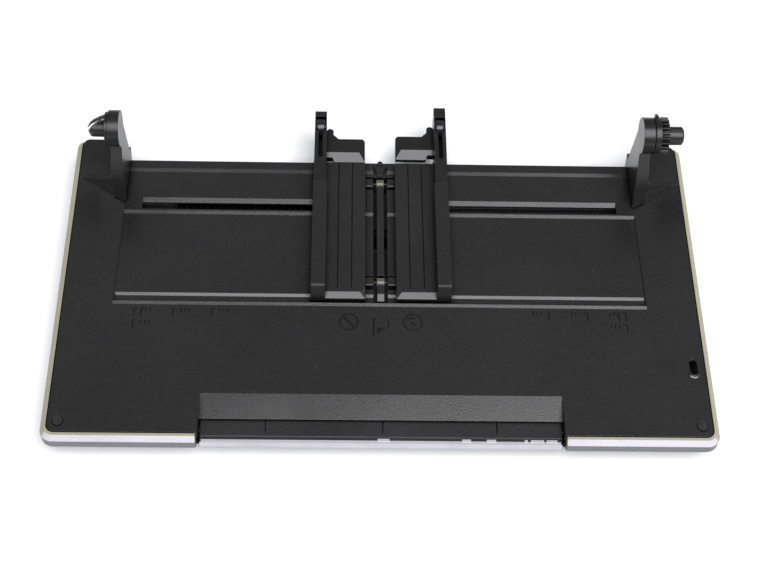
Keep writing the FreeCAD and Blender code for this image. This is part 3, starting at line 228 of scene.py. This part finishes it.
def moulded(name, colour, worn, rough=0.45, grain=900.0, depth=0.5, edge=0.3,
            speckle=0.25, sheen=0.5, wear=0.35, gap=2.5, front=None, painted_shade_inside=False):
    """Injection moulded plastic: fine grain, faint mottling, polished and worn edges, light dust.
    Faces that look forward take the front colour, if one is given. Deep gaps get painted shade,
    with colour and sheen dimmed. On request, faces that look up are painted dark as well: painted
    shade for the inside of a closed shell."""
    g = Graph(name)
    place = g.place()
    fine = g.noise(place, grain, 3.0, 0.6)
    pits = g.cells(place, grain * 1.3)
    cloud = g.noise(place, CLOUD_SCALE, 3.0)
    up = g.facing("Normal", "Z")
    normal, edges = worn_edges(g, place, edge * MM)
    # painted shade: gaps are darkened through ambient occlusion, and on request faces that look up
    # as well
    painted_shade_mask = g.painted_shade_mask(gap * MM)
    if painted_shade_inside:
        painted_shade_mask = g.math("MULTIPLY", painted_shade_mask, g.ramp(up, 0.3, 0.6, 1.0, 0.0))
    tone = g.math("ADD", g.ramp(fine, 0.3, 0.7, 1.0 - speckle, 1.0 + speckle),
                  g.ramp(cloud, 0.3, 0.7, -CLOUD_MOST, CLOUD_MOST))
    base = g.toned(colour if front is None else g.front_mix(colour, front), tone)
    base = dusted(g, place, up, base)
    # painted shade: the colour dims deep in gaps
    base = g.mix(painted_shade_mask, dimmed(colour, PAINTED_GAP_SHADE), base)
    base = g.mix(g.math("MULTIPLY", edges, wear), base, worn)
    roughness = g.math("ADD", g.ramp(cloud, 0.3, 0.7, rough - GLOSS_SHIFT, rough + GLOSS_SHIFT),
                       g.math("MULTIPLY", edges, -EDGE_POLISH))
    height = g.math("ADD", fine, g.math("MULTIPLY", pits, 0.5))
    # painted shade: the sheen dims deep in gaps too
    shine = g.math("MULTIPLY", g.ramp(painted_shade_mask, 0.0, 1.0, PAINTED_GAP_SHINE, 1.0), sheen)
    return g.finish(Base_Color=base, Roughness=roughness, Specular_IOR_Level=shine,
                    Normal=g.bump(height, depth, GRAIN_HIGH, normal))


def metal(name, colour, rough=0.3, stretch=(1.0, 1.0, 1.0), edge=0.1, metallic=1.0):
    """Metal or metallic paint with fine drawn lines and small marks."""
    g = Graph(name)
    place = g.place(stretch)
    lines = g.noise(place, 900.0, 3.0, 0.6)
    marks = g.noise(g.place(), 130.0, 4.0, 0.6)
    normal, edges = g.rounded(edge * MM)
    base = g.mix(g.ramp(marks, 0.45, 0.75, 0.0, 0.35), colour, dimmed(colour, 0.7))
    base = g.mix(g.math("MULTIPLY", edges, 0.4), base, dimmed(colour, 1.25))
    roughness = g.ramp(lines, 0.3, 0.7, rough - 0.07, rough + 0.1)
    return g.finish(Base_Color=base, Metallic=metallic, Roughness=roughness,
                    Normal=g.bump(lines, 0.25, 0.03 * MM, normal))


def glossy(name, colour, rough):
    """Smooth turned plastic with faint turning rings and small scuffs."""
    g = Graph(name)
    rings = g.noise(g.place((RINGS_PER_METRE, 1.0, 1.0)), 1.0, 2.0)
    scuffs = g.noise(g.place(), 350.0, 4.0, 0.7)
    normal, edges = g.rounded(0.12 * MM)
    base = g.mix(g.ramp(scuffs, 0.5, 0.75, 0.0, 0.12), colour, dimmed(colour, 0.6))
    base = g.mix(g.math("MULTIPLY", edges, 0.25), base, dimmed(colour, 1.5))
    roughness = g.ramp(scuffs, 0.3, 0.7, rough, rough + 0.12)
    return g.finish(Base_Color=base, Roughness=roughness,
                    Normal=g.bump(rings, 0.15, 0.02 * MM, normal))


def black_plastic(name, tone, **settings):
    """Black with a very faint blue cast."""
    return moulded(name, (tone, tone, tone * 1.04), BLACK_WORN, **settings)


SLOT_LOOKS = {
    "tray_black": lambda: black_plastic("tray_grain_plastic", 0.0118, rough=0.27, grain=1100.0,
                                        depth=0.5, edge=0.25, wear=0.22, sheen=0.56,
                                        gap=4.0),
    "guide_black": lambda: black_plastic("guide_plastic", 0.0122, rough=0.30, grain=1300.0,
                                         depth=0.4, edge=0.3),
    "tail_black": lambda: black_plastic("tail_smooth_plastic", 0.0085, rough=0.26, grain=1500.0,
                                        depth=0.2, edge=0.25),
    "arm_black": lambda: black_plastic("arm_plastic", 0.0095, rough=0.32, grain=1300.0,
                                       depth=0.25, edge=0.3, sheen=0.42),
    "rim_cream": lambda: moulded("rim_cream_plastic", (0.30, 0.288, 0.20), (0.50, 0.48, 0.38),
                                 rough=0.40, grain=1200.0, depth=0.4, edge=0.4, speckle=0.06,
                                 front=(0.50, 0.485, 0.53)),
    # painted shade: faces that look up inside the cover are painted dark, as the inside of the
    # closed shell
    "cover_grey": lambda: moulded("cover_grey_plastic", (0.120, 0.121, 0.128),
                                  (0.26, 0.26, 0.28), rough=0.46, grain=1000.0, depth=0.6,
                                  speckle=0.12, painted_shade_inside=True),
    "extension_black": lambda: black_plastic("extension_plastic", 0.0150, rough=0.34,
                                             grain=1200.0, depth=0.45),
    "trim_silver": lambda: metal("trim_silver_paint", (0.46, 0.45, 0.49), rough=0.36, edge=0.25,
                                 metallic=0.3),
    # painted shade: the rack is toned darker and duller than the tray, with a wider gap reach, so
    # the slot it lies in reads black
    "rack_black": lambda: black_plastic("rack_plastic_painted_shade", 0.003, rough=0.50, grain=1400.0,
                                        depth=0.25, gap=6.0, sheen=0.12, wear=0.05),
    "pin_black": lambda: black_plastic("pin_plastic", 0.008, rough=0.40, grain=1400.0,
                                       depth=0.2),
    "pinion_black": lambda: moulded("pinion_black_plastic", (0.006, 0.006, 0.006),
                                    (0.03, 0.03, 0.03), rough=0.36, grain=1400.0, depth=0.25,
                                    speckle=0.05),
    "roller_ivory": lambda: glossy("roller_ivory_plastic", (0.085, 0.080, 0.062), rough=0.17),
    "edge_roller_dark": lambda: glossy("edge_roller_plastic", (0.010, 0.010, 0.012), rough=0.09),
    "steel": lambda: metal("plated_steel", (0.24, 0.25, 0.27), rough=0.28),
    "spring_steel": lambda: metal("spring_steel", (0.42, 0.43, 0.46), rough=0.25,
                                  stretch=(1.0, 0.08, 1.0)),
    "pad_rubber": lambda: moulded("pad_rubber", (0.014, 0.014, 0.0145), (0.05, 0.05, 0.05),
                                  rough=0.62, grain=700.0, depth=0.6, edge=0.2, sheen=0.35),
}
MATERIALS = {slot: make() for slot, make in SLOT_LOOKS.items()}


def dress_nodes():
    """Gives every CAD node the material of its slot in the record."""
    for part in frame["record"]["subparts"]:
        node = NODES[part["node"]]
        material = MATERIALS[part["material_slot"]]
        for index in range(len(node.material_slots)):
            node.material_slots[index].material = material


# ---- marks moulded in the tray, in the CAD's millimetres ----
ABOVE_ALL = 60.0             # higher than every part
STROKE = 0.55                # stroke width
STROKE_HIGH = 0.18
STROKE_FLAT = 0.34           # half width of its flat top, as a share of the width
STROKE_SUNK = 0.06           # its sides start this far under the surface

A4_HALF = 105.0
MARK_HALVES = (74.0, 91.0, A4_HALF, 108.0)
MARK_D = 63.3                # depth of the rear end of the width marks
MARK_LONG = 4.6
MARK_HOOK = 1.5
SECOND_ROW = 6.5             # how far the second row lies in front of the first
BARS = 3                     # small bars beside a tick
BAR_FIRST = 3.2
BAR_STEP = 1.7
BAR_LEAN = 0.5
BAR_REAR = 0.1
BAR_FRONT = 1.7

ICON_D = 57.0                # depth of the middles of the two rings
ICON_X = 14.0
ICON_R = 4.0
RING_STRETCH = 1.08          # a ring is longer in depth than across by this
SLASH_REAR = (2.4, 2.6)      # how far the slanted bar reaches from the ring's middle
SLASH_FRONT = (2.1, 2.6)
SLASH_WIDE = 0.9
BLOCK_SPOTS = ((-1.6, 1.7), (0.2, 2.0), (-0.4, -0.4), (0.7, -1.7))
BLOCK_HALF = 0.7
BLOCK_WIDE = 1.3

PAGE_LEFT = -3.2
PAGE_TOP_END = -2.3          # the page's rear edge starts at its left edge and ends here
PAGE_DEPTHS = (58.6, 54.0, 50.0)   # rear end, middle and front end of its left edge
PAGE_STROKE = 0.8
LINES = 4                    # short lines on the page, each shorter than the one behind it
LINE_REAR = 53.6
LINE_STEP = 0.75
LINE_LEFT = -1.6
LINE_RIGHT = 1.7
LINE_SHORTER = 0.95
FOLD_X = 0.4                 # middle of the arc of the folded corner
FOLD_D = 56.4
FOLD_R = 3.1

KEY_X = 134.0                # middle of the round front end of the keyhole slot
KEY_FRONT = 31.5
CRESCENT_R = 2.35
CRESCENT_WIDE = 1.3
CRESCENT_HIGH = 0.26
CRESCENT_FLAT = 0.05


def at(x, depth, z):
    """Point in metres from the CAD's own millimetres, depth counted from the tray's front edge."""
    return Vector((x * MM, (depth - DEPTH_ZERO) * MM, z * MM))


def surface(node):
    mesh = NODES[node].data
    return BVHTree.FromPolygons([v.co for v in mesh.vertices],
                                [tuple(face.vertices) for face in mesh.polygons])


def height_on(tree, x, depth):
    hit = tree.ray_cast(at(x, depth, ABOVE_ALL), Vector((0.0, 0.0, -1.0)))[0]
    return hit.z / MM


def ribbon(shape, tree, spots, width=STROKE, high=STROKE_HIGH, closed=False, flat=STROKE_FLAT):
    """Adds a raised stroke along the spots, following the surface under it."""
    section = ((0.5, -STROKE_SUNK), (flat, high), (-flat, high), (-0.5, -STROKE_SUNK))
    rows = []
    count = len(spots)
    for index, (x, depth) in enumerate(spots):
        before = spots[(index - 1) % count] if closed or index else spots[index]
        after = spots[(index + 1) % count] if closed or index < count - 1 else spots[index]
        along = Vector((after[0] - before[0], after[1] - before[1])).normalized()
        side = Vector((-along.y, along.x))
        low = height_on(tree, x, depth)
        row = []
        for reach, lift in section:
            place = (x + side.x * width * reach, depth + side.y * width * reach)
            row.append(shape.verts.new(at(place[0], place[1], low + lift)))
        rows.append(row)
    links = list(zip(rows, rows[1:]))
    if closed:
        links.append((rows[-1], rows[0]))
    for first, second in links:
        for corner in range(len(section)):
            following = (corner + 1) % len(section)
            shape.faces.new((first[corner], first[following], second[following], second[corner]))
    if not closed:
        shape.faces.new(rows[0][::-1])
        shape.faces.new(rows[-1])


def piece(name, shape, material, body):
    """Turns a bmesh into a named piece that rides a body."""
    bmesh.ops.recalc_face_normals(shape, faces=shape.faces)
    mesh = bpy.data.meshes.new(name)
    shape.to_mesh(mesh)
    shape.free()
    made = bpy.data.objects.new(name, mesh)
    bpy.context.scene.collection.objects.link(made)
    made.data.materials.append(material)
    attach(made, body)


def straight(x0, d0, x1, d1, parts=4):
    """Evenly spaced spots from one place to another."""
    return [(x0 + (x1 - x0) * k / parts, d0 + (d1 - d0) * k / parts) for k in range(parts + 1)]


def width_mark(shape, tree, half, side, depth):
    """Hooked tick at a paper's half width, with small bars on its inner side. The tick at
    A4_HALF has none, as they would run into the next tick's."""
    x = side * half
    inner = x - side * MARK_HOOK
    ribbon(shape, tree, [(inner, depth), (x, depth), (x, depth - MARK_LONG)])
    if half != A4_HALF:
        for step in range(BARS):
            bar = x - side * (BAR_FIRST + BAR_STEP * step)
            ribbon(shape, tree, straight(bar, depth + BAR_REAR, bar - side * BAR_LEAN,
                                         depth - BAR_FRONT, 1))


def width_marks(tree, material):
    shape = bmesh.new()
    for side in (-1, 1):
        for half in MARK_HALVES:
            width_mark(shape, tree, half, side, MARK_D)
        width_mark(shape, tree, MARK_HALVES[-1], side, MARK_D - SECOND_ROW)
    piece("width_marks", shape, material, "base")


def ring_spots(x, depth, r, start=0.0, sweep=360.0, parts=48):
    """Spots round a ring or an arc; a full ring doesn't repeat its first spot."""
    count = parts if sweep == 360.0 else parts + 1
    turns = [math.radians(start + sweep * k / parts) for k in range(count)]
    return [(x + r * math.cos(t), depth + r * RING_STRETCH * math.sin(t)) for t in turns]


def ring_icons(tree, material):
    """Two thin rings: one with a slanted bar, one with a few small blocks."""
    shape = bmesh.new()
    for side in (-1, 1):
        ribbon(shape, tree, ring_spots(side * ICON_X, ICON_D, ICON_R), closed=True)
    slash = straight(-ICON_X - SLASH_REAR[0], ICON_D + SLASH_REAR[1],
                     -ICON_X + SLASH_FRONT[0], ICON_D - SLASH_FRONT[1])
    ribbon(shape, tree, slash, width=SLASH_WIDE)
    for across, back in BLOCK_SPOTS:
        middle = ICON_X + across
        block = straight(middle - BLOCK_HALF, ICON_D + back, middle + BLOCK_HALF, ICON_D + back, 2)
        ribbon(shape, tree, block, width=BLOCK_WIDE)
    piece("ring_icons", shape, material, "base")


def page_icon(tree, material):
    """Left edge of a page, short lines on it, and the arc of its folded corner."""
    shape = bmesh.new()
    outline = [(PAGE_TOP_END, PAGE_DEPTHS[0])]
    outline += [(PAGE_LEFT, depth) for depth in PAGE_DEPTHS]
    ribbon(shape, tree, outline, width=PAGE_STROKE)
    for line in range(LINES):
        depth = LINE_REAR - LINE_STEP * line
        right = LINE_RIGHT - LINE_SHORTER * line
        ribbon(shape, tree, straight(LINE_LEFT, depth, right, depth, 2), width=PAGE_STROKE)
    ribbon(shape, tree, ring_spots(FOLD_X, FOLD_D, FOLD_R, start=-30.0, sweep=85.0, parts=8))
    piece("page_icon", shape, material, "base")


def key_crescent(tree, material):
    """Low glossy ridge round the front end of the keyhole slot; its material is toned lighter as a
    painted highlight.
    """
    shape = bmesh.new()
    arc = ring_spots(KEY_X, KEY_FRONT, CRESCENT_R, start=220.0, sweep=110.0, parts=12)
    ribbon(shape, tree, arc, width=CRESCENT_WIDE, high=CRESCENT_HIGH, flat=CRESCENT_FLAT)
    piece("key_crescent", shape, material, "base")


# ---- trim tabs ----
FLANGE_DEEP = 1.3 * MM       # how far the flange reaches behind the trim
FLANGE_LAP = 0.4 * MM        # how far it starts in front of the trim's rear edge
FLANGE_SHORT = 1.0 * MM      # it is this much narrower than the trim
FLANGE_RISE = 0.12 * MM      # its top above the trim's
TAB_LAP = 0.5 * MM           # a tab's reach in front of and behind the flange's rear edge
TAB_REACH = 0.8 * MM
TAB_RISE = 0.3 * MM
TAB_SUNK = 0.3 * MM          # underside of flange and tabs below the trim's top
TAB_EDGE = 0.08 * MM         # small bevel on all edges
TAB_SPOTS = ((0.9, 5.1), (35.6, 3.8), (46.0, 4.0), (60.6, 1.4), (65.3, 5.6), (71.4, 4.6))
# middle and width of each tab, in millimetres


def slab(shape, middle, wide, front, rear, low, high):
    """Adds a flat block, all in metres."""
    block = bmesh.ops.create_cube(shape, size=1.0)["verts"]
    bmesh.ops.scale(shape, verts=block, vec=(wide, rear - front, high - low))
    centre = Vector((middle, (front + rear) / 2.0, (low + high) / 2.0))
    bmesh.ops.translate(shape, verts=block, vec=centre)


def trim_tabs(material):
    """Thin flange on the trim's rear edge, with small raised tabs along it."""
    low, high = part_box("extension_trim")
    edge = high.y + FLANGE_DEEP
    under = high.z - TAB_SUNK
    shape = bmesh.new()
    slab(shape, 0.0, high.x - low.x - FLANGE_SHORT, high.y - FLANGE_LAP, edge,
         under, high.z + FLANGE_RISE)
    for middle, wide in TAB_SPOTS:
        slab(shape, middle * MM, wide * MM, edge - TAB_LAP, edge + TAB_REACH,
             under, high.z + TAB_RISE)
    bmesh.ops.bevel(shape, geom=list(shape.edges), offset=TAB_EDGE, segments=2,
                    affect="EDGES", profile=0.5)
    piece("trim_tabs", shape, material, "extension_body")


def tray_marks():
    """All the small raised marks on the tray: duller than the tray, but for the lip, which is
    polished and toned lighter as a painted highlight.
    """
    tree = surface("tray_insert")
    ink = black_plastic("mark_plastic", 0.005, rough=0.40, grain=1500.0, depth=0.2, edge=0.1,
                        sheen=0.24, wear=0.1)
    width_marks(tree, ink)
    ring_icons(tree, ink)
    page_icon(tree, ink)
    # painted highlight: the lip is toned lighter than the tray to stand in for the highlight on
    # its rounded edge
    polished = black_plastic("glossy_lip_painted_highlight", 0.03, rough=0.22, grain=1500.0, depth=0.1,
                             edge=0.1, sheen=0.8, wear=0.3, gap=0.3)
    key_crescent(tree, polished)


# ---- stage ----
FLOOR_SIZE = 12.0
FLOOR_DROP = 0.05 * MM       # the floor lies just under the part, not in its underside's plane
SKY_TINT = (0.97, 0.98, 1.0)
SKY_STRENGTH = 0.30
BOX_AT = (0.30, -0.89, 1.90)   # above and behind the camera, a little to its right
BOX_WIDE = 2.2
BOX_LONG = 1.75
BOX_RADIANCE = 6.2
BOX_TINT = (0.98, 0.98, 1.0)


def plain_floor():
    bpy.ops.mesh.primitive_plane_add(size=FLOOR_SIZE, location=(0.0, 0.0, -FLOOR_DROP))
    floor = bpy.context.object
    floor.name = "floor"
    g = Graph("floor_paper")
    place = g.place()
    tone = g.ramp(g.noise(place, 3.0, 2.0), 0.3, 0.7, 0.0, 1.0)
    fibre = g.noise(place, 600.0, 3.0)
    floor.data.materials.append(g.finish(
        Base_Color=g.mix(tone, (0.90, 0.90, 0.90), (0.93, 0.93, 0.93)), Roughness=0.9,
        Normal=g.bump(fibre, 0.1, 0.05 * MM)))


def soft_box():
    """One large soft light, turned towards the middle of the part."""
    light = bpy.data.lights.new("top_box", "AREA")
    light.shape = "RECTANGLE"
    light.size = BOX_WIDE
    light.size_y = BOX_LONG
    light.energy = BOX_RADIANCE * math.pi * BOX_WIDE * BOX_LONG
    light.color = BOX_TINT
    holder = bpy.data.objects.new("top_box", light)
    bpy.context.scene.collection.objects.link(holder)
    holder.location = BOX_AT
    holder.rotation_euler = (-Vector(BOX_AT)).to_track_quat("-Z", "Y").to_euler()


def studio():
    world = bpy.data.worlds.new("studio_world")
    bpy.context.scene.world = world
    world.use_nodes = True
    sky = world.node_tree.nodes["Background"]
    sky.inputs["Color"].default_value = SKY_TINT + (1.0,)
    sky.inputs["Strength"].default_value = SKY_STRENGTH
    soft_box()
    bpy.context.scene.view_settings.view_transform = "Standard"


def photo_camera():
    """Camera at its place, turned by its pitch, yaw and roll."""
    right = Vector((math.cos(CAMERA_YAW), math.sin(CAMERA_YAW), 0.0))
    ahead = Vector((-math.sin(CAMERA_YAW), math.cos(CAMERA_YAW), 0.0))
    up = Vector((0.0, 0.0, 1.0))
    forward = ahead * math.cos(CAMERA_PITCH) - up * math.sin(CAMERA_PITCH)
    top = ahead * math.sin(CAMERA_PITCH) + up * math.cos(CAMERA_PITCH)
    across = right * math.cos(CAMERA_ROLL) + top * math.sin(CAMERA_ROLL)
    over = top * math.cos(CAMERA_ROLL) - right * math.sin(CAMERA_ROLL)
    data = bpy.data.cameras.new("camera")
    data.lens = LENS_MM
    data.sensor_width = SENSOR_MM
    data.clip_start = 0.01
    data.clip_end = 30.0
    camera = bpy.data.objects.new("camera", data)
    bpy.context.scene.collection.objects.link(camera)
    matrix = Matrix((across, over, -forward)).transposed().to_4x4()
    matrix.translation = Vector(CAMERA_AT)
    camera.matrix_world = matrix
    bpy.context.scene.camera = camera


dress_nodes()
tray_marks()
trim_tabs(MATERIALS["trim_silver"])
plain_floor()
studio()
photo_camera()
